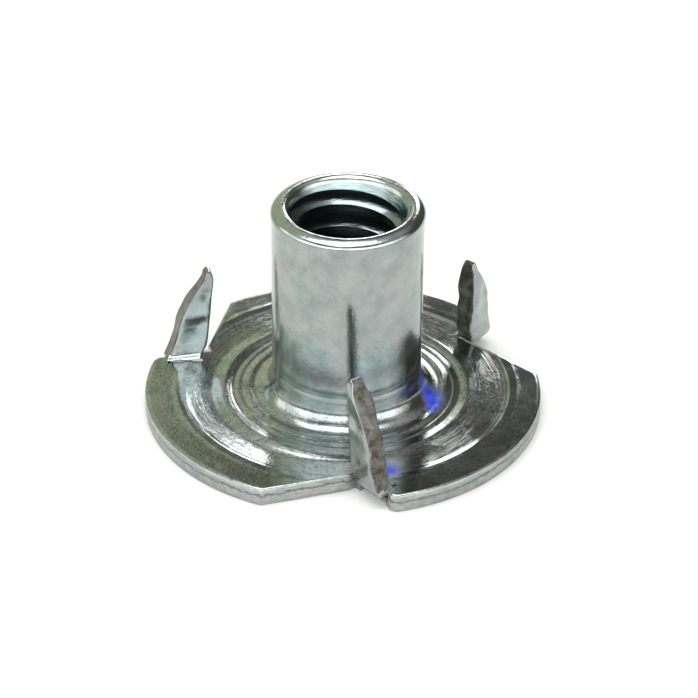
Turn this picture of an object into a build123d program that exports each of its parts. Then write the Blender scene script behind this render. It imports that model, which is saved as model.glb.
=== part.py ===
"""Three-pronged tee nut: a barrel drawn up from a round sheet steel flange, and prongs bent up from its rim.

The barrel's axis is Z and the flange lies on the plane Z = 0. All sizes are in millimetres and degrees.
"""

import os
from math import cos, radians, tan

from build123d import *

# Sheet and flange
sheet = 0.95  # thickness of the steel sheet
flange_radius = 10.25
flange_offset = Vector(-0.18, -0.14)  # how far the trimmed rim lies off the barrel's axis
rim_round = 0.14  # rolled-over edge on top of the rim
coin_radius = 8.45  # inside this circle the top face is pressed a little lower
coin_depth = 0.07
coin_slope = 0.15

# Barrel
barrel_radius = 3.85
height = 11.5
foot_round = 1.0  # fillet from the flange up to the barrel
lip_flare = 0.05  # the barrel's mouth is belled out by this much
lip_flare_length = 0.5
lip_round = 0.3
lip_radius = 3.2  # where the top of the lip turns down into the countersink
lip_bevel = 0.25
countersink_depth = 1.05

# Bore, at the crests of a 1/4 in thread with 20 turns to the inch
thread_minor_radius = 2.56
mouth_round = 0.9  # rounded way in from under the flange

# Cut-outs: each leaves a straight edge from its root to a sharp corner on the rim
prong_count = 3
root_radius = 8.1
root_angle = -87.5  # of the first cut-out's root, seen from above
corner_angle = -112.7
shoulder_angle = -74.3  # where the rim starts again beyond the prong
root_relief = 0.4  # small notch beside the prong's inner edge

# Prongs: each is bent up along a line that runs outwards from the root
bend_angle = -50.0  # direction of the first prong's bend line
bend_inner_radius = 0.3
prong_tip_height = 5.9
neck_cut = 0.38  # the inner edge is cut back by this much where the prong leaves the flange
neck_height = 0.75
base_width = 2.2
waist_width = 1.7
waist_height = 2.1
belly_width = 1.2  # of the bulging outer edge, half way up the blade
belly_height = 3.95
blade_slant = 0.42  # how far the inner edge runs inwards on its way up
tip_width = 0.5
tip_shoulder_height = 5.45

# How each prong came out of the bend: turned about its root, leaning back, raked outwards
prong_turns = (-1.0, -16.0, 4.0)
prong_leans = (5.0, -3.5, 0.0)
prong_rakes = (-5.0, 4.0, 0.0)
prong_slips = (0.0, -0.3, 0.2)  # how far outwards along the bend line each blade was cut

margin = 2.0  # how far the cutting shapes reach past the metal
bend_radius = sheet + bend_inner_radius  # on the outside of the bend
foot_depth = 1.25 * bend_radius  # from the gap back to flat sheet, with room for a bend past square


def flange_point(radius, angle):
    """The point at that radius and angle about the trimmed rim's centre."""
    return flange_offset + Vector(radius, 0).rotate(Axis.Z, angle)


def prong_frame(number):
    """Where a prong starts, the direction outwards along its bend line, and the one into its gap."""
    turn = 360 / prong_count * number
    outwards = Vector(1, 0).rotate(Axis.Z, bend_angle + turn + prong_turns[number])
    start = flange_point(root_radius, root_angle + turn) + outwards * prong_slips[number]
    return start, outwards, outwards.rotate(Axis.Z, -90)


def leaning(number, depth, level):
    """A point on the prong's gap side, or that deep in the sheet, as (gapwards, up)."""
    lean = radians(prong_leans[number])
    return (-(level - sheet) * tan(lean) - depth / cos(lean), level)


def raked(number, along, level):
    """A point on the prong's outline, as (outwards, up)."""
    return (along + (level - sheet) * tan(radians(prong_rakes[number])), level)


prongs = []
for number in range(prong_count):
    start, outwards, gapwards = prong_frame(number)
    with BuildPart() as prong:
        # Section across the bend: the sheet turns up out of the flange
        with BuildSketch(Plane(origin=start, x_dir=gapwards, z_dir=-outwards)) as across:
            with BuildLine():
                Polyline(
                    (-foot_depth, 0),
                    leaning(number, 0, 0),
                    leaning(number, 0, prong_tip_height + margin),
                    leaning(number, sheet, prong_tip_height + margin),
                    leaning(number, sheet, sheet),
                    (-foot_depth, sheet),
                    close=True,
                )
            make_face()
            outer_corner = across.vertices().group_by(Axis.Y)[0].sort_by(Axis.X)[-1]
            fillet(outer_corner, bend_radius)
            sheet_top = across.vertices().filter_by_position(Axis.Y, sheet / 2, 2 * sheet)
            inner_corner = sheet_top.sort_by(Axis.X)[-1]
            fillet(inner_corner, bend_inner_radius)
        extrude(amount=base_width + margin, both=True)
        # Blade seen from its gap side: slanting inner edge, round tip, bulging outer edge
        with BuildSketch(Plane(origin=start, x_dir=outwards, z_dir=gapwards)):
            with BuildLine():
                inner_shoulder = raked(number, -blade_slant, tip_shoulder_height)
                tip = raked(number, tip_width / 2 - blade_slant, prong_tip_height)
                outer_shoulder = raked(number, tip_width - blade_slant, tip_shoulder_height)
                waist = raked(number, waist_width, waist_height)
                Polyline((base_width, sheet), (base_width, 0), (neck_cut, 0), (neck_cut, sheet))
                neck_top = raked(number, 0, sheet + neck_height)
                SagittaArc((neck_cut, sheet), neck_top, neck_cut / 4)
                Line(neck_top, inner_shoulder)
                ThreePointArc(inner_shoulder, tip, outer_shoulder)
                ThreePointArc(outer_shoulder, raked(number, belly_width, belly_height), waist)
                SagittaArc(waist, (base_width, sheet), -(base_width - waist_width) / 4)
            make_face()
        extrude(amount=prong_tip_height + margin, both=True, mode=Mode.INTERSECT)
    prongs.append(prong.part)

with BuildPart() as tee_nut:
    # Flange and barrel in one section
    floor_start = (thread_minor_radius + mouth_round, 0)
    wall_start = (thread_minor_radius, mouth_round)
    low_face = sheet - coin_depth
    foot_start = (barrel_radius + foot_round, low_face)
    foot_end = (barrel_radius, low_face + foot_round)
    lip_start = (barrel_radius + lip_flare, height - lip_round)
    lip_end = (barrel_radius + lip_flare - lip_round, height)
    blank_radius = flange_radius + margin
    with BuildSketch(Plane.XZ):
        with BuildLine():
            Polyline(
                floor_start,
                (blank_radius, 0),
                (blank_radius, sheet),
                (coin_radius, sheet),
                (coin_radius - coin_slope, low_face),
                foot_start,
            )
            RadiusArc(foot_start, foot_end, foot_round)
            Polyline(
                foot_end,
                (barrel_radius, height - lip_round - lip_flare_length),
                lip_start,
            )
            RadiusArc(lip_start, lip_end, -lip_round)
            Polyline(
                lip_end,
                (lip_radius, height),
                (lip_radius - lip_bevel, height - lip_bevel),
                (thread_minor_radius, height - countersink_depth),
                wall_start,
            )
            RadiusArc(wall_start, floor_start, -mouth_round)
        make_face()
    revolve(axis=Axis.Z)

    # Rim, trimmed a little off the barrel's axis and rolled over on top
    with BuildSketch():
        Circle(blank_radius + margin)
        with Locations(flange_offset):
            Circle(flange_radius, mode=Mode.SUBTRACT)
    extrude(amount=sheet, mode=Mode.SUBTRACT)
    rim = tee_nut.edges().filter_by(GeomType.CIRCLE).filter_by_position(Axis.Z, sheet / 2, 2 * sheet)
    fillet(rim.sort_by(SortBy.RADIUS)[-1], rim_round)

    for number in range(prong_count):
        start, outwards, gapwards = prong_frame(number)
        turn = 360 / prong_count * number
        root = flange_point(root_radius, root_angle + turn)
        corner = flange_point(flange_radius, corner_angle + turn)
        shoulder = flange_point(flange_radius, shoulder_angle + turn)
        shoulder_depth = (shoulder - root).dot(gapwards)
        past_corner = corner + (corner - root).normalized() * margin
        past_rim = root + outwards * flange_radius
        # Open cut-out: straight edge, notch beside the prong, and step to the rim beyond it
        with BuildSketch():
            with BuildLine():
                Polyline(
                    root,
                    past_corner,
                    past_corner + gapwards * flange_radius,
                    past_rim + gapwards * flange_radius,
                    past_rim + gapwards * shoulder_depth,
                    start + outwards * neck_cut + gapwards * shoulder_depth,
                    start + outwards * neck_cut - gapwards * root_relief,
                    root - gapwards * root_relief,
                    close=True,
                )
            make_face()
        extrude(amount=sheet + margin, mode=Mode.SUBTRACT)
        # Room for the bend, which the prong then fills
        with BuildSketch(Plane(origin=start, x_dir=outwards, z_dir=(0, 0, 1))):
            with Locations(((neck_cut + base_width) / 2, 0)):
                Rectangle(base_width - neck_cut, 2 * foot_depth)
        extrude(amount=sheet + margin, mode=Mode.SUBTRACT)
    add(prongs)

os.makedirs("parts", exist_ok=True)
tee_nut.part.label = "tee_nut"
export_step(tee_nut.part, "parts/tee_nut.step")
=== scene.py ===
"""Zinc-plated tee nut: a threaded barrel drawn up from a round flange, and three prongs bent up from it."""

from math import atan2, cos, exp, hypot, pi, radians, sin, sqrt, tan

import bmesh
import bpy
from mathutils import Matrix, Vector, noise


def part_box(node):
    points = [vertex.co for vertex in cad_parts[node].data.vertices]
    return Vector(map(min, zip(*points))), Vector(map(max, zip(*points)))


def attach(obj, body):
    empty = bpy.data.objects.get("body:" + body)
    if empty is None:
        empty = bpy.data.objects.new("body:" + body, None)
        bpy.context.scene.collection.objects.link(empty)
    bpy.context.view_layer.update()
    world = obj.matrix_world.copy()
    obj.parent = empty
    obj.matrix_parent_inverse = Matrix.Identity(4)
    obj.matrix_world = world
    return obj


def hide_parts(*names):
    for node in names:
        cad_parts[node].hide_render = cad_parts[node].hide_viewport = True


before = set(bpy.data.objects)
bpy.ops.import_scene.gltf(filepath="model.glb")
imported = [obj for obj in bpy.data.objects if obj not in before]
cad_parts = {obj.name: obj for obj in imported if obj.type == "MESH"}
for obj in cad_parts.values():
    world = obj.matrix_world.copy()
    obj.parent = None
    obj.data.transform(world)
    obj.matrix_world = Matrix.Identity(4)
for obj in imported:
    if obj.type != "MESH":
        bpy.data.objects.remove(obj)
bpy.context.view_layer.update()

bl_info = {
    "name": "Tee Nut",
    "version": (1, 0, 0),
    "blender": (4, 5, 0),
    "location": "3D View > Sidebar > Tee Nut",
    "description": "Makes a three-pronged tee nut with its thread, its plating and a plain studio",
    "category": "Add Mesh",
}

NUT_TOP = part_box("tee_nut")[1][2]
MM = 0.001


# ---------------------------------------------------------------- sizes and colours


def length(name, default, description):
    """A size in metres, given in millimetres."""
    return bpy.props.FloatProperty(
        name=name, default=default * MM, description=description, unit="LENGTH", precision=5
    )


def turned(name, default, description):
    """An angle, given in degrees."""
    return bpy.props.FloatProperty(
        name=name, default=radians(default), description=description, subtype="ANGLE"
    )


def tint(name, default, description):
    """An sRGB hex colour."""
    return bpy.props.StringProperty(name=name, default=default, description=description)


class TeeNutSizes(bpy.types.PropertyGroup):
    """The nut's own sizes."""

    sheet: length("Sheet", 0.95, "Thickness of the steel sheet")
    rim_radius: length("Rim radius", 10.25, "Radius of the trimmed flange")
    rim_offset_x: length("Rim offset X", -0.18, "How far the trimmed rim lies off the barrel's axis")
    rim_offset_y: length("Rim offset Y", -0.14, "How far the trimmed rim lies off the barrel's axis")
    coin_radius: length("Coined radius", 8.45, "Inside this circle the top face is pressed lower")
    coin_depth: length("Coined depth", 0.07, "How much lower")
    barrel_radius: length("Barrel radius", 3.85, "Outside of the barrel")
    foot_round: length("Foot round", 1.0, "Fillet between flange and barrel")
    lip_flare: length("Lip flare", 0.05, "How far the barrel's mouth is belled out")
    lip_round: length("Lip round", 0.3, "Outer rounding of the lip")
    bore_radius: length("Bore radius", 2.56, "Radius at the thread's crests")
    groove_radius: length("Groove radius", 3.175, "Radius at the bottom of the thread's grooves")
    pitch: length("Pitch", 1.27, "Thread pitch, 20 turns to the inch")
    bend_inner: length("Bend radius", 0.3, "Inside radius of each prong's bend")
    prong_height: length("Prong height", 5.9, "Height of the prongs' tips")


class TeeNutFinish(bpy.types.PropertyGroup):
    """The colours of the plating."""

    zinc: tint("Zinc", "#A9AFAD", "Bright zinc plating")
    dull_zinc: tint("Dull zinc", "#8F9A98", "Zinc with a thicker, greenish passivation")
    stain: tint("Stain", "#A59FA2", "Faint purplish brown film dried on the zinc")
    # Painted reflection: this blue is painted in a few spots where the zinc mirrors something blue
    blue: tint("Blue film", "#2440D2", "Iridescent blue where the passivation is thickest")
    tapped: tint("Tapped zinc", "#6F7F80", "Thin zinc in the thread, over the tap's marks")
    sheared: tint("Sheared zinc", "#B0B1AE", "Zinc over a sheared edge")
    torn: tint("Torn edge", "#544C42", "Brownish film on the torn edges of the prongs")
    soot: tint("Dark marks", "#2A2825", "Tears and pits in a sheared edge")


class TeeNutStage(bpy.types.PropertyGroup):
    """Camera and studio."""

    elevation: turned("Camera elevation", 32.344, "Camera's angle above the floor")
    roll: turned("Camera roll", 0.558, "Camera's roll about its own axis")
    distance: length("Camera distance", 136.8, "From the camera to the point it looks at")
    aim_x: length("Aim X", 0.112, "Sideways place of the point looked at")
    aim_z: length("Aim Z", 3.08, "Height of the point looked at")
    lens: bpy.props.FloatProperty(name="Lens", default=137.03, description="Focal length in mm on 36 mm")
    floor: tint("Floor", "#D5D5D4", "Plain pale floor")


# ---------------------------------------------------------------- cut-outs and prongs

THIRD = 120.0  # degrees from one prong to the next
PRONG_COUNT = 3
PLAIN_RADIUS = 6.4 * MM  # inside this circle the mesh's rings are round

# Each cut-out's straight edge runs from a sharp corner on the rim in to the root of its prong
CORNER_ANGLE = -112.7
ROOT_RADIUS, ROOT_ANGLE = 8.1 * MM, -87.5
NOTCH_DEPTH = 0.4 * MM  # of the small notch beside the prong's inner edge
BEND_ANGLE = -50.0  # direction of the first prong's bend line

# A blade, seen from its gap: the inner edge is cut back at the neck and then slants, the outer one bulges
NECK_CUT, NECK_HEIGHT, NECK_CURVE = 0.38 * MM, 0.75 * MM, 1.4
BASE_WIDTH = 2.2 * MM
WAIST_WIDTH, WAIST_LEVEL, WAIST_CURVE = 1.7 * MM, 2.1 * MM, 0.75
BELLY, BELLY_CURVE = 0.3 * MM, 1.2
TIP_WIDTH, TIP_SLANT, TIP_SHOULDER = 0.5 * MM, 0.42 * MM, 5.45 * MM
TIP_BLUNTNESS = 0.03  # keeps the tip from closing to a point

# How each prong came out of the bend, in degrees, and how far along the bend line it was cut, in mm
PRONG_TURNS = (-1.0, -16.0, 4.0)
PRONG_LEANS = (5.0, -3.5, 0.0)
PRONG_RAKES = (-5.0, 4.0, 0.0)
PRONG_SLIPS = (0.0, -0.3, 0.2)

# The rim starts again beyond each prong with a rounded shoulder, set back behind the prong's foot
PRONG_SHOULDERS = (-76.0, -74.3, -74.3)
SHOULDER_ROUND = 1.4  # in degrees of the rim
SHOULDER_DROP, SHOULDER_KNEE = 0.12 * MM, 0.7
FOOT_GAP = 0.03 * MM

# Marks of the tools: a crease pressed across each bend, dents in the blades and tears in the cut edges
CREASE_DEPTHS = (0.05 * MM, 0.05 * MM, 0.22 * MM)
CREASE_TURN, CREASE_SPREAD, CREASE_GRAIN, CREASE_EVENNESS = 0.3, 0.35, 0.35 * MM, 0.7
DENT_DEPTH, DENT_SIZE, DENT_START = 0.14 * MM, 0.9 * MM, 0.8 * MM
TEAR_DEPTH, TEARS_ALONG = 0.07 * MM, 14
TEAR_FRACTAL = (0.8, 2.0, 3)  # roughness, step and layers

# Columns of the mesh along each third of the outline, and where they start on the plain circle
RIM_COLUMNS, EDGE_COLUMNS, NOTCH_COLUMNS, BEND_COLUMNS, SHOULDER_COLUMNS = 56, 32, 6, 16, 6
THIRD_COLUMNS = RIM_COLUMNS + EDGE_COLUMNS + NOTCH_COLUMNS + BEND_COLUMNS + SHOULDER_COLUMNS
COLUMNS = PRONG_COUNT * THIRD_COLUMNS
BEND_FIRST = EDGE_COLUMNS + NOTCH_COLUMNS
BEND_LAST = BEND_FIRST + BEND_COLUMNS
EDGE_CROWDING = 0.75  # how much closer a prong's columns stand near its two edges
RING_RIM, RING_CORNER, RING_ROOT, RING_BEND, RING_FOOT = -72.0, -112.7, -87.5, -80.0, -74.5


def polar(radius, angle, centre=(0.0, 0.0)):
    """A plane point from a radius and an angle in degrees."""
    return Vector((centre[0] + radius * cos(radians(angle)), centre[1] + radius * sin(radians(angle))))


def bend_share(column):
    """Where that column lies across a prong, from 0 to 1."""
    share = column / BEND_COLUMNS
    return share - sin(2 * pi * share) / (2 * pi) * EDGE_CROWDING


class Prong:
    """One prong's place, directions and form."""

    def __init__(self, sizes, number):
        turn = THIRD * number
        angle = radians(BEND_ANGLE + turn + PRONG_TURNS[number])
        centre = (sizes.rim_offset_x, sizes.rim_offset_y)
        self.number = number
        self.outwards = Vector((cos(angle), sin(angle)))
        self.gapwards = Vector((sin(angle), -cos(angle)))
        self.root = polar(ROOT_RADIUS, ROOT_ANGLE + turn, centre)
        self.start = self.root + self.outwards * PRONG_SLIPS[number] * MM
        self.lean = radians(PRONG_LEANS[number])
        self.rake = tan(radians(PRONG_RAKES[number]))
        self.crease = CREASE_DEPTHS[number]
        self.sheet = sizes.sheet
        self.height = sizes.prong_height
        self.bend_inner = sizes.bend_inner
        self.bend_radius = sizes.sheet + sizes.bend_inner
        self.bend_depth = -sizes.bend_inner * tan(self.lean) - self.bend_radius / cos(self.lean)
        self.bend_run = self.bend_radius * (pi / 2 + self.lean)
        self.blade_run = (self.height - self.bend_radius) / cos(self.lean)

    def flat(self, along, depth):
        """A plane point that far along the bend line and into the gap."""
        return self.start + self.outwards * along + self.gapwards * depth

    def edges(self, level):
        """How far outwards the blade's inner and outer edges are at that level."""
        rise = max(level - self.sheet, 0.0)
        neck_top = self.sheet + NECK_HEIGHT
        if level < neck_top:
            inner = NECK_CUT * (1 - rise / NECK_HEIGHT) ** NECK_CURVE
        else:
            inner = -TIP_SLANT * (level - neck_top) / (TIP_SHOULDER - neck_top)
        if level < WAIST_LEVEL:
            share = rise / (WAIST_LEVEL - self.sheet)
            outer = BASE_WIDTH + (WAIST_WIDTH - BASE_WIDTH) * share ** WAIST_CURVE
        else:
            share = (level - WAIST_LEVEL) / (TIP_SHOULDER - WAIST_LEVEL)
            outer = WAIST_WIDTH + (TIP_WIDTH - TIP_SLANT - WAIST_WIDTH) * share
            outer += BELLY * sin(pi * share) ** BELLY_CURVE
        if level > TIP_SHOULDER:
            share = (level - TIP_SHOULDER) / (self.height - TIP_SHOULDER)
            half_width = TIP_WIDTH / 2 * sqrt(max(1 - share ** 2, TIP_BLUNTNESS))
            middle = TIP_WIDTH / 2 - TIP_SLANT
            inner, outer = middle - half_width, middle + half_width
        return inner + rise * self.rake, outer + rise * self.rake

    def bent(self, share, thickness, run):
        """The point that share across the blade, that far through the sheet and that far round and up it."""
        radius = self.bend_radius - thickness * self.sheet
        turn = min(run / self.bend_run, 1.0) * (pi / 2 + self.lean)
        rise = max(run - self.bend_run, 0.0)
        depth = self.bend_depth + radius * sin(turn) - rise * sin(self.lean)
        level = self.bend_radius - radius * cos(turn) + rise * cos(self.lean)
        inner, outer = self.edges(min(level, self.height))
        along = inner + (outer - inner) * share
        if thickness > 0.5 and rise == 0.0:
            where = Vector((along, turn * self.bend_inner, 0.0)) / CREASE_GRAIN
            jagged = noise.noise(where + Vector((0, 0, 7 * self.number)))
            beside = max(0.0, 1 - abs(turn - CREASE_TURN) / CREASE_SPREAD)
            level -= self.crease * beside * (CREASE_EVENNESS + jagged)
        where = Vector((along, level, 0)) / DENT_SIZE + Vector((0, 0, 4 * self.number + 1.5 * thickness))
        depth += DENT_DEPTH * min(rise / DENT_START, 1.0) * noise.noise(where)
        spot = self.flat(along, depth)
        return Vector((spot.x, spot.y, level))


def path(*stops):
    """A run of straight legs, as a function of the share of the way along it."""
    legs = len(stops) - 1

    def at(share):
        leg = min(int(share * legs + 1e-9), legs - 1)
        return stops[leg].lerp(stops[leg + 1], share * legs - leg)

    return at


def flange_outline(sizes):
    """For each column of the mesh, its angle on the plain circle and its point on the outline."""
    centre = (sizes.rim_offset_x, sizes.rim_offset_y)
    columns = []

    def run(points, count, first_angle, last_angle):
        for i in range(count):
            columns.append((first_angle + (last_angle - first_angle) * i / count, points(i / count)))

    for number in range(PRONG_COUNT):
        turn = THIRD * number
        prong = Prong(sizes, number)
        corner = polar(sizes.rim_radius, CORNER_ANGLE + turn, centre)
        shoulder = polar(sizes.rim_radius, PRONG_SHOULDERS[number] + turn, centre)
        rim_first = PRONG_SHOULDERS[number] + SHOULDER_ROUND + turn
        rim_last = CORNER_ANGLE + turn + THIRD
        foot_first = prong.flat(NECK_CUT, prong.bend_depth)
        foot_last = prong.flat(BASE_WIDTH, prong.bend_depth)
        behind_root = prong.root - prong.gapwards * NOTCH_DEPTH
        behind_neck = prong.flat(NECK_CUT, -NOTCH_DEPTH)
        forward = (shoulder - prong.start).dot(prong.gapwards) - SHOULDER_DROP
        beside_foot = prong.flat(BASE_WIDTH + FOOT_GAP, max(forward, prong.bend_depth))
        knee = beside_foot.lerp(shoulder, SHOULDER_KNEE)

        def cut_edge(share):
            tear = noise.fractal(Vector((share * TEARS_ALONG, number * 5.0, 0)), *TEAR_FRACTAL)
            straight_edge = corner.lerp(prong.root, share)
            return straight_edge + prong.gapwards * tear * TEAR_DEPTH * sin(pi * share)

        def foot(share):
            return foot_first.lerp(foot_last, share)

        def rim_arc(share):
            return polar(sizes.rim_radius, rim_first + (rim_last - rim_first) * share, centre)

        run(cut_edge, EDGE_COLUMNS, RING_CORNER + turn, RING_ROOT + turn)
        notch = path(prong.root, behind_root, behind_neck, foot_first)
        run(notch, NOTCH_COLUMNS, RING_ROOT + turn, RING_BEND + turn)
        for i in range(BEND_COLUMNS):
            share = bend_share(i)
            columns.append((RING_BEND + (RING_FOOT - RING_BEND) * share + turn, foot(share)))
        step = path(foot_last, beside_foot, knee, rim_arc(0.0))
        run(step, SHOULDER_COLUMNS, RING_FOOT + turn, RING_RIM + turn)
        run(rim_arc, RIM_COLUMNS, RING_RIM + turn, RING_CORNER + turn + THIRD)
    return columns


# ---------------------------------------------------------------- section of the nut

MOUTH_ROUND = 0.9 * MM  # rounded way in from under the flange
COUNTERSINK = 1.05 * MM
LIP_INNER, LIP_BEVEL, LIP_FLARE_LENGTH = 3.2 * MM, 0.25 * MM, 0.5 * MM
CROWN_ROUND, CROWN_WIDTH, CROWN_DROP = 0.38 * MM, 0.6 * MM, 0.36 * MM  # top of the lip, inside and outside
RIM_ROUND, BURR_ROUND = 0.14 * MM, 0.05 * MM  # top and bottom of the rim's wall

# Groove that the draw ring leaves above the barrel's foot: rise in mm and share of the depth
GROOVE_LEVEL, GROOVE_DEPTH = 2.5 * MM, 0.05 * MM
GROOVE_PROFILE = ((0.06, 0.3), (0.0, 1.0), (-0.06, 0.9), (-0.16, 0.2), (-0.3, 0.0))

# Pressed dish inside the plain rim, deepest on the side at DISH_ANGLE + 180 degrees
COIN_STEP = 0.25 * MM
DISH_WIDTH, DISH_DEPTH, DISH_END = 1.45 * MM, 0.14 * MM, 0.5 * MM
DISH_ANGLE, DISH_FADE = radians(38), 0.8

# Rings pressed into the flange: radius, width and height in mm
RINGS = (
    (5.05, 0.25, 0.03),
    (5.45, 0.16, -0.03),
    (5.85, 0.22, -0.05),
    (6.35, 0.2, 0.025),
    (8.8, 0.2, 0.012),
)


def arc(centre, radius, start, end, count):
    """Points of a section's arc, angles in degrees, without its first point."""
    return [polar(radius, start + (end - start) * (i + 1) / count, centre) for i in range(count)]


def straight(start, end, count):
    """Points of a section's line, without its first point."""
    first, last = Vector(start), Vector(end)
    return [first.lerp(last, (i + 1) / count) for i in range(count)]


def eased(share):
    """That share, kept from 0 to 1, with a soft start and a soft end."""
    share = min(max(share, 0.0), 1.0)
    return share * share * (3 - 2 * share)


def coined_level(sizes, radius, angle):
    """Height of the flange's top face: a lower pressed zone with a dish and a few rings in it."""
    dish_inside = sizes.coin_radius - DISH_WIDTH
    dish = DISH_DEPTH * max(-cos(angle - DISH_ANGLE), 0.0) ** DISH_FADE
    plain = min(max((radius - sizes.coin_radius) / COIN_STEP + 1, 0.0), 1.0)
    level = sizes.sheet - sizes.coin_depth * (1 - plain)
    level -= dish * (1 - eased((radius - dish_inside) / DISH_WIDTH))
    level += dish * eased((dish_inside - radius) / DISH_END)
    for ring, width, rise in RINGS:
        away = (radius / MM - ring) / width
        level += rise * MM * exp(-2 * away * away)
    return level


def nut_section(sizes):
    """The nut's half section as (radius, level) points, up the bore, over the lip and round the flange."""
    barrel, bore, rim, top = sizes.barrel_radius, sizes.bore_radius, sizes.rim_radius, NUT_TOP
    foot, low = sizes.foot_round, sizes.sheet - sizes.coin_depth
    crown = barrel + sizes.lip_flare - CROWN_WIDTH
    points = [Vector((bore, MOUTH_ROUND))]
    points += straight(points[-1], (bore, top - COUNTERSINK), 6)
    points += straight(points[-1], (LIP_INNER - LIP_BEVEL, top - LIP_BEVEL), 4)
    points += arc((crown, top - CROWN_ROUND), CROWN_ROUND, 145, 93, 6)
    for point in arc((0, 0), 1.0, 90, 0, 12):
        points.append(Vector((crown + CROWN_WIDTH * point.x, top - CROWN_DROP * (1 - point.y))))
    points += straight(points[-1], (barrel, top - sizes.lip_round - LIP_FLARE_LENGTH), 4)
    points += straight(points[-1], (barrel, GROOVE_LEVEL + 0.15 * MM), 18)
    for rise, share in GROOVE_PROFILE:
        points.append(Vector((barrel - GROOVE_DEPTH * share, GROOVE_LEVEL + rise * MM)))
    points += straight(points[-1], (barrel, low + foot), 3)
    points += arc((barrel + foot, low + foot), foot, 180, 270, 14)
    points += straight(points[-1], (rim - RIM_ROUND, sizes.sheet), 46)
    points += arc((rim - RIM_ROUND, sizes.sheet - RIM_ROUND), RIM_ROUND, 90, 0, 4)
    points += straight(points[-1], (rim, BURR_ROUND), 5)
    points += arc((rim - BURR_ROUND, BURR_ROUND), BURR_ROUND, 0, -90, 2)
    points += straight(points[-1], (bore + MOUTH_ROUND, 0.0), 20)
    points += arc((bore + MOUTH_ROUND, MOUTH_ROUND), MOUTH_ROUND, 270, 180, 8)[:-1]
    return points


# ---------------------------------------------------------------- making meshes

MERGE_DISTANCE = 0.0005 * MM
HAIR = 0.0001 * MM  # less than any distance that matters
BEND_STEPS, BLADE_STEPS, TIP_CROWDING = 10, 26, 1.5

# How the blades grow thinner: beside both edges, and over the last part of their length
EDGE_PINCH, EDGE_BAND, EDGE_PINCH_START = 0.16, 0.05, 0.5 * MM
TIP_PINCH, TIP_PINCH_FROM, TIP_PINCH_CURVE = 0.45, 0.75, 2.5

THREAD_TURNS, THREAD_STEPS = 11, 96
THREAD_START = -1.15 * MM  # where the thread's groove crosses the plane Y = 0 for the first time
THREAD_OVERCUT = 0.2 * MM  # how far the cutter reaches inside the crests
THREAD_FLANK = radians(30)


def finish_mesh(bm, name, materials):
    """A new object of that mesh, closed, with its faces outwards and smooth."""
    bmesh.ops.remove_doubles(bm, verts=bm.verts, dist=MERGE_DISTANCE)
    bmesh.ops.recalc_face_normals(bm, faces=bm.faces)
    for face in bm.faces:
        face.smooth = True
    mesh = bpy.data.meshes.new(name)
    bm.to_mesh(mesh)
    bm.free()
    piece = bpy.data.objects.new(name, mesh)
    for material in materials:
        mesh.materials.append(material)
    bpy.context.scene.collection.objects.link(piece)
    return piece


def spun_section(points, turns=1.0, rise=0.0, steps=COLUMNS):
    """A closed section spun about Z; with a rise it becomes a coil with closed ends."""
    bm = bmesh.new()
    verts = [bm.verts.new((point.x, 0.0, point.y)) for point in points]
    edges = [bm.edges.new((verts[i], verts[(i + 1) % len(verts)])) for i in range(len(verts))]
    geom = verts + edges
    if rise:
        geom.append(bm.faces.new(verts))
    bmesh.ops.spin(
        bm, geom=geom, cent=(0, 0, 0), axis=(0, 0, 1), dvec=(0, 0, rise / steps), angle=2 * pi * turns,
        steps=steps, use_merge=not rise,
    )
    return bm


def shape_flange(bm, sizes, across, through):
    """Move the spun flange out to its cut outline and press its top. Gives each prong's strip of wall."""
    columns = flange_outline(sizes)
    places = {}
    for vert in bm.verts:
        radius, level = hypot(vert.co.x, vert.co.y), vert.co.z
        column = round(atan2(vert.co.y, vert.co.x) / (2 * pi) * COLUMNS) % COLUMNS
        third, local = divmod(column, THIRD_COLUMNS)
        angle, outer = columns[column]
        on_wall = radius > sizes.rim_radius - RIM_ROUND - HAIR
        if on_wall and BEND_FIRST <= local <= BEND_LAST:
            vert[across] = bend_share(local - BEND_FIRST)
            vert[through] = level / sizes.sheet
            radius = sizes.rim_radius
        spot = polar(min(radius, PLAIN_RADIUS), angle)
        if radius > PLAIN_RADIUS:
            spot = spot.lerp(outer, (radius - PLAIN_RADIUS) / (sizes.rim_radius - PLAIN_RADIUS))
        on_top = level > 0.6 * sizes.sheet and radius > sizes.barrel_radius + sizes.foot_round
        if on_top and not on_wall:
            level = coined_level(sizes, spot.length, atan2(spot.y, spot.x))
        vert.co = (spot.x, spot.y, level)
        places[vert] = (third, local, on_wall)
    strips = [[] for _ in range(PRONG_COUNT)]
    for face in bm.faces:
        corners = [places[vert] for vert in face.verts]
        thirds = {third for third, _, _ in corners}
        in_strip = all(on_wall and BEND_FIRST <= local <= BEND_LAST for _, local, on_wall in corners)
        if in_strip and len(thirds) == 1:
            strips[thirds.pop()].append(face)
    return strips


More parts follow.
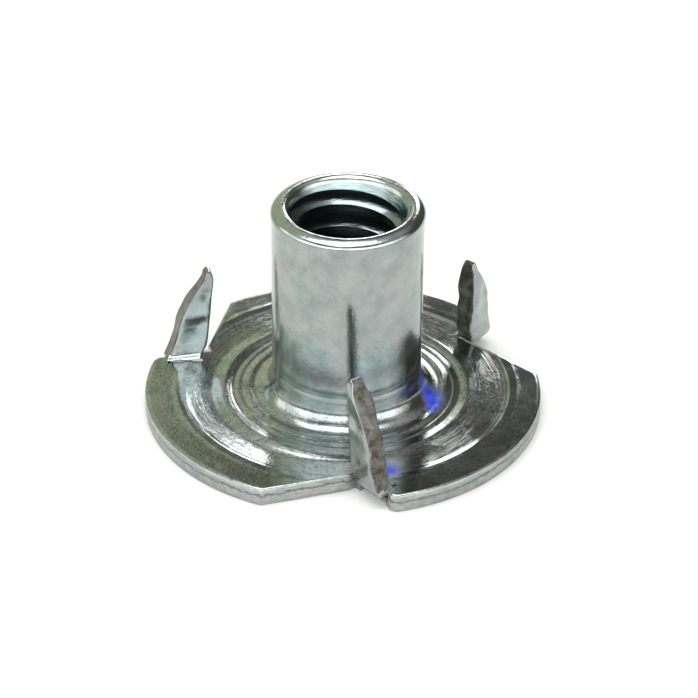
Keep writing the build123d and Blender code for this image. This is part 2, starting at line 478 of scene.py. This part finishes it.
def pull_prong(bm, prong, faces, across, through):
    """Pull one prong out of its strip of the rim's wall, round its bend and up to its tip."""
    runs = [prong.bend_run * (i + 1) / BEND_STEPS for i in range(BEND_STEPS)]
    for i in range(BLADE_STEPS):
        runs.append(prong.bend_run + prong.blade_run * (1 - (1 - (i + 1) / BLADE_STEPS) ** TIP_CROWDING))
    for run in runs:
        made = bmesh.ops.extrude_face_region(bm, geom=faces)["geom"]
        bmesh.ops.delete(bm, geom=faces, context="FACES")
        faces = [part for part in made if isinstance(part, bmesh.types.BMFace)]
        grown = min(run / EDGE_PINCH_START, 1.0)
        tip_share = max((run - prong.bend_run) / prong.blade_run - TIP_PINCH_FROM, 0.0) / (1 - TIP_PINCH_FROM)
        tip_left = 1 - TIP_PINCH * tip_share ** TIP_PINCH_CURVE
        for vert in made:
            if isinstance(vert, bmesh.types.BMVert):
                share = vert[across]
                edge = min(share, 1 - share)
                edge_left = 1 - EDGE_PINCH * grown * max(1 - edge / EDGE_BAND, 0.0)
                thickness = 0.5 + (vert[through] - 0.5) * edge_left * tip_left
                vert.co = prong.bent(share, thickness, run)


def build_nut(sizes):
    """Barrel, flange and prongs as one closed mesh."""
    bm = spun_section(nut_section(sizes))
    across = bm.verts.layers.float.new("share_across")
    through = bm.verts.layers.float.new("share_through")
    for number, strip in enumerate(shape_flange(bm, sizes, across, through)):
        pull_prong(bm, Prong(sizes, number), strip, across, through)
    bm.normal_update()
    return bm


def build_thread_cutter(sizes):
    """The coil that the tap leaves open: a 60 degree thread form, longer than the bore at both ends."""
    flat_half = sizes.pitch / 16
    inner = sizes.bore_radius - THREAD_OVERCUT
    foot_half = flat_half + (sizes.groove_radius - inner) * tan(THREAD_FLANK)
    section = [
        Vector((inner, THREAD_START - foot_half)),
        Vector((sizes.groove_radius, THREAD_START - flat_half)),
        Vector((sizes.groove_radius, THREAD_START + flat_half)),
        Vector((inner, THREAD_START + foot_half)),
    ]
    rise, steps = THREAD_TURNS * sizes.pitch, THREAD_TURNS * THREAD_STEPS
    return spun_section(section, turns=THREAD_TURNS, rise=rise, steps=steps)


# ---------------------------------------------------------------- materials

# Sizes of the patterns, in mm
MOTTLE = 1.11  # patches of thicker and thinner passivation
SPECKLE = 0.167  # pits in the plating, drawn coarser than they are so that they show
CLOUD = 2.38  # dried stains
DRAW_MARK_WIDTH, DRAW_MARK_LENGTH = 0.428, 3.7  # scratches that the drawing die leaves along the barrel
RING_SPACING = 0.385  # rings that the pressing tool leaves on the flange
TEAR_SIZE = 0.238  # fine lines torn across a sheared edge
PATCH_SIZE = 0.714  # smooth and rough places along a sheared edge
TAP_MARK = 0.667  # marks of the tap along the grooves

# Input and output sockets of a Mix node
NUMBER_A, NUMBER_B, COLOUR_A, COLOUR_B, COLOUR_OUT = 2, 3, 6, 7, 2

# Painted blue reflection, in spots where the zinc mirrors something blue: place and size in mm
PAINTED_BLUE_REFLECTIONS = (
    ((4.0, -0.3, 1.9), 0.6),
    ((4.35, -0.85, 1.25), 0.7),
    ((4.5, -1.55, 1.0), 0.5),
    ((4.4, -2.2, 0.95), 0.38),
    ((9.75, 2.15, 0.85), 0.6),
    ((-7.4, 4.0, 0.6), 0.36),
    ((-7.25, 4.6, 0.6), 0.36),
    ((-7.1, 5.2, 0.6), 0.36),
    ((2.1, -7.7, 0.95), 0.6),
)


def linear(code):
    """A linear colour from an sRGB hex code."""
    parts = [int(code[i : i + 2], 16) / 255 for i in (1, 3, 5)]
    return [p / 12.92 if p <= 0.04045 else ((p + 0.055) / 1.055) ** 2.4 for p in parts] + [1.0]


def node(tree, kind, inputs=None, **settings):
    """Add a node, set it up and link it. A node given as an input stands for its first output."""
    made = tree.nodes.new(kind)
    for name, value in settings.items():
        setattr(made, name, value)
    for key, value in (inputs or {}).items():
        source = value.outputs[0] if isinstance(value, bpy.types.Node) else value
        if isinstance(source, bpy.types.NodeSocket):
            tree.links.new(source, made.inputs[key])
        else:
            made.inputs[key].default_value = source
    return made


def new_material(name):
    """An empty node material."""
    material = bpy.data.materials.new(name)
    material.use_nodes = True
    material.node_tree.nodes.clear()
    return material, material.node_tree


def metal_shell(tree, colour, roughness, normal, metallic=1.0):
    """Close a material with a metal's shader and its output."""
    shader = node(tree, "ShaderNodeBsdfPrincipled", {
        "Base Color": colour, "Roughness": roughness, "Normal": normal, "Metallic": metallic,
    })
    node(tree, "ShaderNodeOutputMaterial", {"Surface": shader})


def tool_marks(tree, sizes, place, on_barrel):
    """Height of the marks that the die leaves along the barrel and the press round the flange."""
    x, y, z = node(tree, "ShaderNodeSeparateXYZ", {0: place}).outputs
    flat = node(tree, "ShaderNodeCombineXYZ", {0: x, 1: y, 2: 0.0})
    radius = node(tree, "ShaderNodeVectorMath", {0: flat}, operation="LENGTH").outputs["Value"]
    around = node(tree, "ShaderNodeMath", {0: y, 1: x}, operation="ARCTAN2")

    # Along the barrel: noise stretched along Z
    marks_per_radian = sizes.barrel_radius / (DRAW_MARK_WIDTH * MM)
    stretch = 1 / (DRAW_MARK_LENGTH * MM * marks_per_radian)
    up = node(tree, "ShaderNodeMath", {0: z, 1: stretch}, operation="MULTIPLY")
    drawn = node(tree, "ShaderNodeTexNoise", {
        "Vector": node(tree, "ShaderNodeCombineXYZ", {0: around, 1: 0.0, 2: up}),
        "Scale": marks_per_radian, "Detail": 5.0, "Roughness": 0.65,
    })
    faint_drawn = node(tree, "ShaderNodeMath", {0: drawn, 1: 0.35}, operation="MULTIPLY")

    # Round the flange: noise of the radius, which changes slowly round it and fades on the plain rim
    out = node(tree, "ShaderNodeMath", {0: radius, 1: 1 / (RING_SPACING * MM)}, operation="MULTIPLY")
    slow = node(tree, "ShaderNodeMath", {0: around, 1: 0.35}, operation="MULTIPLY")
    rings = node(tree, "ShaderNodeTexNoise", {
        "Vector": node(tree, "ShaderNodeCombineXYZ", {0: out, 1: slow, 2: 0.0}),
        "Scale": 1.0, "Detail": 6.0, "Roughness": 0.7,
    })
    in_dish = node(tree, "ShaderNodeMapRange", {
        "Value": radius, "From Min": 8.6 * MM, "From Max": 8.1 * MM, "To Min": 0.12, "To Max": 1.0,
    })
    ringed = node(tree, "ShaderNodeMath", {0: rings, 1: in_dish}, operation="MULTIPLY")
    return node(tree, "ShaderNodeMix", {0: on_barrel, NUMBER_A: ringed, NUMBER_B: faint_drawn})


def plated_material(sizes, finish):
    """Bright zinc electroplate over drawn and pressed sheet, with a clear passivation.

    It reads as a glossy blue-grey metal with soft patches, dark pits and a few dried stains. Reflections
    streak along the barrel and run in rings round the flange, and a painted blue reflection lies on a few
    spots.
    """
    material, tree = new_material("Zinc plate, drawn sheet")
    place = node(tree, "ShaderNodeTexCoord").outputs["Object"]
    level = node(tree, "ShaderNodeSeparateXYZ", {0: place}).outputs[2]
    on_barrel = node(tree, "ShaderNodeMapRange", {
        "Value": level, "From Min": 1.2 * MM, "From Max": 2.0 * MM,
    })
    marks = tool_marks(tree, sizes, place, on_barrel)
    mottle = node(tree, "ShaderNodeTexNoise", {
        "Vector": place, "Scale": 1 / (MOTTLE * MM), "Detail": 6.0, "Roughness": 0.6,
    })
    speckle = node(tree, "ShaderNodeTexNoise", {
        "Vector": place, "Scale": 1 / (SPECKLE * MM), "Detail": 3.0, "Roughness": 0.7,
    })
    cloud = node(tree, "ShaderNodeTexNoise", {
        "Vector": place, "Scale": 1 / (CLOUD * MM), "Detail": 4.0, "Roughness": 0.6,
    })

    # Colour: patches of passivation, then pits, which are fainter on the barrel, then stains
    bright = node(tree, "ShaderNodeMapRange", {"Value": mottle, "From Min": 0.35, "From Max": 0.65})
    colour = node(tree, "ShaderNodeMix", {
        0: bright, COLOUR_A: linear(finish.dull_zinc), COLOUR_B: linear(finish.zinc),
    }, data_type="RGBA").outputs[COLOUR_OUT]
    pits = node(tree, "ShaderNodeMapRange", {
        "Value": speckle, "From Min": 0.5, "From Max": 0.68, "To Min": 0.0, "To Max": 0.5,
    })
    pits_left = node(tree, "ShaderNodeMapRange", {"Value": on_barrel, "To Min": 1.0, "To Max": 0.25})
    pits = node(tree, "ShaderNodeMath", {0: pits, 1: pits_left}, operation="MULTIPLY")
    stains = node(tree, "ShaderNodeMapRange", {
        "Value": cloud, "From Min": 0.5, "From Max": 0.68, "To Min": 0.0, "To Max": 0.55,
    })
    for share, film in ((pits, finish.soot), (stains, finish.stain)):
        colour = node(tree, "ShaderNodeMix", {
            0: share, COLOUR_A: colour, COLOUR_B: linear(film),
        }, data_type="RGBA").outputs[COLOUR_OUT]

    # Painted blue reflection with ragged edges, in a few spots, which also takes away part of the metal's
    # shine
    metallic = 1.0
    for spot, size in PAINTED_BLUE_REFLECTIONS:
        centre = [part * MM for part in spot]
        away = node(tree, "ShaderNodeVectorMath", {0: place, 1: centre}, operation="DISTANCE")
        ragged = node(tree, "ShaderNodeMath", {
            0: mottle, 1: -0.9 * size * MM, 2: away.outputs["Value"],
        }, operation="MULTIPLY_ADD")
        share = node(tree, "ShaderNodeMapRange", {
            "Value": ragged, "From Min": 0.0, "From Max": 0.95 * size * MM, "To Min": 0.9, "To Max": 0.0,
        })
        colour = node(tree, "ShaderNodeMix", {
            0: share, COLOUR_A: colour, COLOUR_B: linear(finish.blue),
        }, data_type="RGBA").outputs[COLOUR_OUT]
        metallic = node(tree, "ShaderNodeMath", {0: share, 1: -0.6, 2: metallic}, operation="MULTIPLY_ADD")

    # Gloss and relief
    gloss = node(tree, "ShaderNodeMix", {0: on_barrel, NUMBER_A: 0.07, NUMBER_B: 0.1})
    roughness = node(tree, "ShaderNodeMath", {0: mottle, 1: 0.1, 2: gloss}, operation="MULTIPLY_ADD")
    relief = node(tree, "ShaderNodeBump", {"Strength": 1.0, "Distance": 0.026 * MM, "Height": marks})
    for height, depth in ((mottle, 0.012), (speckle, 0.004)):
        relief = node(tree, "ShaderNodeBump", {
            "Strength": 1.0, "Distance": depth * MM, "Height": height, "Normal": relief,
        })
    metal_shell(tree, colour, roughness, relief, metallic)
    return material


def sheared_material(finish, name, film, darkest, blotchy, fracture):
    """Zinc over a sheared edge.

    It reads as rougher and more broken than the faces: fine dark tears across the sheet, dull blotches,
    and, on the rim, a wavy dark line where the shear ends and the fracture starts.
    """
    material, tree = new_material(name)
    place = node(tree, "ShaderNodeTexCoord").outputs["Object"]
    level = node(tree, "ShaderNodeSeparateXYZ", {0: place}).outputs[2]
    stretched = node(tree, "ShaderNodeMapping", {"Vector": place, "Scale": (0.35, 0.35, 1.6)})
    tears = node(tree, "ShaderNodeTexNoise", {
        "Vector": stretched, "Scale": 1 / (TEAR_SIZE * MM), "Detail": 5.0, "Roughness": 0.7,
    })
    patches = node(tree, "ShaderNodeTexNoise", {
        "Vector": place, "Scale": 1 / (PATCH_SIZE * MM), "Detail": 6.0, "Roughness": 0.7,
    })
    torn = node(tree, "ShaderNodeMapRange", {
        "Value": tears, "From Min": 0.3, "From Max": 0.48, "To Min": darkest, "To Max": 0.0,
    })
    wavy = node(tree, "ShaderNodeMath", {0: patches, 1: 0.8 * MM, 2: level}, operation="MULTIPLY_ADD")
    off_line = node(tree, "ShaderNodeMath", {0: wavy, 1: 0.96 * MM}, operation="SUBTRACT")
    off_line = node(tree, "ShaderNodeMath", {0: off_line}, operation="ABSOLUTE")
    line = node(tree, "ShaderNodeMapRange", {
        "Value": off_line, "From Min": 0.02 * MM, "From Max": 0.09 * MM, "To Min": fracture, "To Max": 0.0,
    })
    dark = node(tree, "ShaderNodeMath", {0: torn, 1: line}, operation="MAXIMUM")
    blotches = node(tree, "ShaderNodeMapRange", {
        "Value": patches, "From Min": 0.42, "From Max": 0.62, "To Min": 0.0, "To Max": blotchy,
    })
    colour = linear(film)
    for share, other in ((dark, finish.soot), (blotches, finish.dull_zinc)):
        colour = node(tree, "ShaderNodeMix", {
            0: share, COLOUR_A: colour, COLOUR_B: linear(other),
        }, data_type="RGBA").outputs[COLOUR_OUT]
    roughness = node(tree, "ShaderNodeMapRange", {
        "Value": patches, "From Min": 0.3, "From Max": 0.7, "To Min": 0.22, "To Max": 0.45,
    })
    relief = node(tree, "ShaderNodeBump", {"Strength": 1.0, "Distance": 0.05 * MM, "Height": tears})
    relief = node(tree, "ShaderNodeBump", {
        "Strength": 1.0, "Distance": 0.08 * MM, "Height": patches, "Normal": relief,
    })
    metal_shell(tree, colour, roughness, relief)
    return material


def threaded_material(finish):
    """Thin zinc over a cut thread: darker and bluer than the outside, with fine marks along each groove."""
    material, tree = new_material("Zinc plate, tapped thread")
    place = node(tree, "ShaderNodeTexCoord").outputs["Object"]
    along = node(tree, "ShaderNodeMapping", {"Vector": place, "Scale": (1.0, 1.0, 6.0)})
    tapping = node(tree, "ShaderNodeTexNoise", {
        "Vector": along, "Scale": 1 / (TAP_MARK * MM), "Detail": 4.0,
    })
    colour = node(tree, "ShaderNodeMix", {
        0: tapping, COLOUR_A: linear(finish.tapped), COLOUR_B: linear(finish.dull_zinc),
    }, data_type="RGBA").outputs[COLOUR_OUT]
    relief = node(tree, "ShaderNodeBump", {"Strength": 1.0, "Distance": 0.02 * MM, "Height": tapping})
    metal_shell(tree, colour, 0.2, relief)
    return material


def floor_material(stage):
    """Matt white card: an even, pale floor with no shine."""
    material, tree = new_material("Matt white card")
    shader = node(tree, "ShaderNodeBsdfPrincipled", {
        "Base Color": linear(stage.floor), "Roughness": 0.9, "Specular IOR Level": 0.1,
    })
    node(tree, "ShaderNodeOutputMaterial", {"Surface": shader})
    return material


# ---------------------------------------------------------------- the nut

PLATED, SHEARED, TAPPED, TORN = range(4)  # the nut's material slots
UPRIGHT = 0.6  # past this share of its normal, a face counts as facing that way
SHARP_ANGLE = radians(40)


def cut_thread(context, blank, cutter):
    """The blank's mesh with the thread cut in it. Both objects are used up."""
    cut = blank.modifiers.new("Thread", "BOOLEAN")
    cut.operation, cut.solver, cut.object = "DIFFERENCE", "MANIFOLD", cutter
    mesh = bpy.data.meshes.new_from_object(blank.evaluated_get(context.evaluated_depsgraph_get()))
    for used in (blank, cutter):
        bpy.data.objects.remove(used)
    if all(face.material_index != TAPPED for face in mesh.polygons):
        raise RuntimeError("The thread wasn't cut: the blank or the cutter isn't closed")
    bm = bmesh.new()
    bm.from_mesh(mesh)
    bpy.data.meshes.remove(mesh)
    return bm


def finish_of(face, sizes, prongs):
    """The material slot of a face: tapped in the bore, sheared round the rim, torn beside the prongs."""
    centre = face.calc_center_median()
    out = hypot(centre.x, centre.y)
    in_bore = out < sizes.groove_radius and centre.z < NUT_TOP - 0.2 * MM
    if face.material_index == TAPPED or in_bore:
        return TAPPED
    if out > PLAIN_RADIUS and abs(face.normal.z) < UPRIGHT and centre.z < sizes.sheet:
        return SHEARED
    if out > PLAIN_RADIUS and centre.z > sizes.sheet:
        prong = min(prongs, key=lambda one: (one.start - centre.xy).length)
        if abs(face.normal.xy.dot(prong.outwards)) > UPRIGHT:
            return TORN
    return PLATED


class OBJECT_OT_tee_nut(bpy.types.Operator):
    """Make the tee nut: flange, barrel, prongs and cut thread"""

    bl_idname = "object.tee_nut"
    bl_label = "Tee Nut"

    def execute(self, context):
        sizes, finish = context.scene.tee_nut_sizes, context.scene.tee_nut_finish
        rim_look = {"film": finish.sheared, "darkest": 0.35, "blotchy": 0.8, "fracture": 0.75}
        torn_look = {"film": finish.torn, "darkest": 0.9, "blotchy": 0.5, "fracture": 0.0}
        materials = [
            plated_material(sizes, finish),
            sheared_material(finish, "Zinc plate, blanked rim", **rim_look),
            threaded_material(finish),
            sheared_material(finish, "Zinc plate, torn prong edge", **torn_look),
        ]
        blank = finish_mesh(build_nut(sizes), "nut_blank", materials)
        coil = build_thread_cutter(sizes)
        for face in coil.faces:
            face.material_index = TAPPED
        bm = cut_thread(context, blank, finish_mesh(coil, "thread_cutter", materials))
        prongs = [Prong(sizes, number) for number in range(PRONG_COUNT)]
        for face in bm.faces:
            face.material_index = finish_of(face, sizes, prongs)
        piece = finish_mesh(bm, "tee_nut_steel", materials)
        piece.data.set_sharp_from_angle(angle=SHARP_ANGLE)
        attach(piece, "root")
        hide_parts("tee_nut")
        return {"FINISHED"}


# ---------------------------------------------------------------- the stage

# Area lights that face the nut: name, place and size in mm, and power in watts
LIGHTS = (
    ("overhead_softbox", (-15, 20, 260), (200, 200), 0.52),
    ("front_softbox", (20, -240, 140), (260, 110), 0.08),
    ("left_window", (-250, 60, 110), (90, 130), 0.05),
    ("back_window", (61, 270, 92), (34, 110), 0.11),
    ("back_sill", (-4, 285, 106), (32, 56), 0.065),
)
FLOOR_RADIUS = 0.6
SENSOR_WIDTH = 36.0
BACK_LEFT, BACK_RIGHT, CEILING, FRONT_WALL = "#F6FFDA", "#6E6B62", (1, 1, 1, 1), "#8C857C"
FRONT_WINDOW = (4.1, 4.2, 4.25, 1)
ROOM_STRENGTH = 0.75


def soft_light(name, place, size, power):
    """An oblong area light that faces the nut, with its place and size in mm."""
    lamp = bpy.data.lights.new(name, "AREA")
    lamp.shape, lamp.size, lamp.size_y = "RECTANGLE", size[0] * MM, size[1] * MM
    lamp.energy = power
    holder = bpy.data.objects.new(name, lamp)
    spot = Vector(place) * MM
    holder.matrix_world = Matrix.Translation(spot) @ spot.to_track_quat("Z", "Y").to_matrix().to_4x4()
    bpy.context.scene.collection.objects.link(holder)


def photo_camera(stage):
    """A long-lens camera in front of the nut, looking down on it."""
    back = Vector((0, -cos(stage.elevation), sin(stage.elevation)))
    up = Vector((0, sin(stage.elevation), cos(stage.elevation)))
    right = Vector((1, 0, 0))
    rolled_right = right * cos(stage.roll) + up * sin(stage.roll)
    rolled_up = up * cos(stage.roll) - right * sin(stage.roll)
    camera = bpy.data.objects.new("camera", bpy.data.cameras.new("camera"))
    turn = Matrix((rolled_right, rolled_up, back)).transposed().to_4x4()
    place = Vector((stage.aim_x, 0, stage.aim_z)) + back * stage.distance
    camera.matrix_world = Matrix.Translation(place) @ turn
    camera.data.lens, camera.data.sensor_width = stage.lens, SENSOR_WIDTH
    camera.data.clip_start, camera.data.clip_end = 0.005, 10.0
    return camera


def room():
    """The surroundings that the zinc mirrors.

    Behind the nut the room is pale green on the left and dim on the right, its ceiling is white, and a
    wide bright window stands in front.
    """
    world = bpy.data.worlds.new("studio")
    world.use_nodes = True
    tree = world.node_tree
    tree.nodes.clear()
    way = node(tree, "ShaderNodeTexCoord").outputs["Generated"]
    x, y, z = node(tree, "ShaderNodeSeparateXYZ", {0: way}).outputs
    to_right = node(tree, "ShaderNodeMapRange", {"Value": x, "From Min": -0.09, "From Max": -0.03})
    behind = node(tree, "ShaderNodeMix", {
        0: to_right, COLOUR_A: linear(BACK_LEFT), COLOUR_B: linear(BACK_RIGHT),
    }, data_type="RGBA").outputs[COLOUR_OUT]
    overhead = node(tree, "ShaderNodeMapRange", {"Value": z, "From Min": 0.62, "From Max": 0.85})
    above = node(tree, "ShaderNodeMix", {
        0: overhead, COLOUR_A: behind, COLOUR_B: CEILING,
    }, data_type="RGBA").outputs[COLOUR_OUT]
    rising = node(tree, "ShaderNodeMapRange", {"Value": z, "From Min": 0.1, "From Max": 0.22})
    falling = node(tree, "ShaderNodeMapRange", {"Value": z, "From Min": 0.78, "From Max": 0.62})
    window = node(tree, "ShaderNodeMath", {0: rising, 1: falling}, operation="MULTIPLY")
    front = node(tree, "ShaderNodeMix", {
        0: window, COLOUR_A: linear(FRONT_WALL), COLOUR_B: FRONT_WINDOW,
    }, data_type="RGBA").outputs[COLOUR_OUT]
    in_front = node(tree, "ShaderNodeMapRange", {"Value": y, "From Min": 0.2, "From Max": -0.35})
    walls = node(tree, "ShaderNodeMix", {
        0: in_front, COLOUR_A: above, COLOUR_B: front,
    }, data_type="RGBA").outputs[COLOUR_OUT]
    glow = node(tree, "ShaderNodeBackground", {"Color": walls, "Strength": ROOM_STRENGTH})
    node(tree, "ShaderNodeOutputWorld", {"Surface": glow})
    return world


class OBJECT_OT_tee_nut_stage(bpy.types.Operator):
    """Make the floor, the lights, the surroundings and the camera"""

    bl_idname = "object.tee_nut_stage"
    bl_label = "Tee Nut Stage"

    def execute(self, context):
        stage = context.scene.tee_nut_stage
        bm = bmesh.new()
        bmesh.ops.create_circle(bm, cap_ends=True, segments=64, radius=FLOOR_RADIUS)
        finish_mesh(bm, "floor", [floor_material(stage)])
        context.scene.camera = photo_camera(stage)
        context.scene.collection.objects.link(context.scene.camera)
        for name, place, size, power in LIGHTS:
            soft_light(name, place, size, power)
        context.scene.world = room()
        context.scene.view_settings.view_transform = "Standard"
        context.scene.view_settings.look = "None"
        return {"FINISHED"}


# ---------------------------------------------------------------- add-on


class VIEW3D_PT_tee_nut(bpy.types.Panel):
    """Tee nut settings and buttons"""

    bl_label = "Tee Nut"
    bl_space_type = "VIEW_3D"
    bl_region_type = "UI"
    bl_category = "Tee Nut"

    def draw(self, context):
        column = self.layout.column()
        for group in GROUPS:
            settings = getattr(context.scene, group)
            for name in settings.__annotations__:
                column.prop(settings, name)
        for operator in OPERATORS:
            column.operator(operator.bl_idname)


OPERATORS = (OBJECT_OT_tee_nut, OBJECT_OT_tee_nut_stage)
GROUPS = {
    "tee_nut_sizes": TeeNutSizes,
    "tee_nut_finish": TeeNutFinish,
    "tee_nut_stage": TeeNutStage,
}


def register():
    for group, kind in GROUPS.items():
        bpy.utils.register_class(kind)
        setattr(bpy.types.Scene, group, bpy.props.PointerProperty(type=kind))
    for kind in OPERATORS + (VIEW3D_PT_tee_nut,):
        bpy.utils.register_class(kind)


def unregister():
    for kind in (VIEW3D_PT_tee_nut,) + OPERATORS:
        bpy.utils.unregister_class(kind)
    for group, kind in GROUPS.items():
        delattr(bpy.types.Scene, group)
        bpy.utils.unregister_class(kind)


def main():
    register()
    for step in (bpy.ops.object.tee_nut, bpy.ops.object.tee_nut_stage):
        step()


if __name__ == "__main__":
    main()
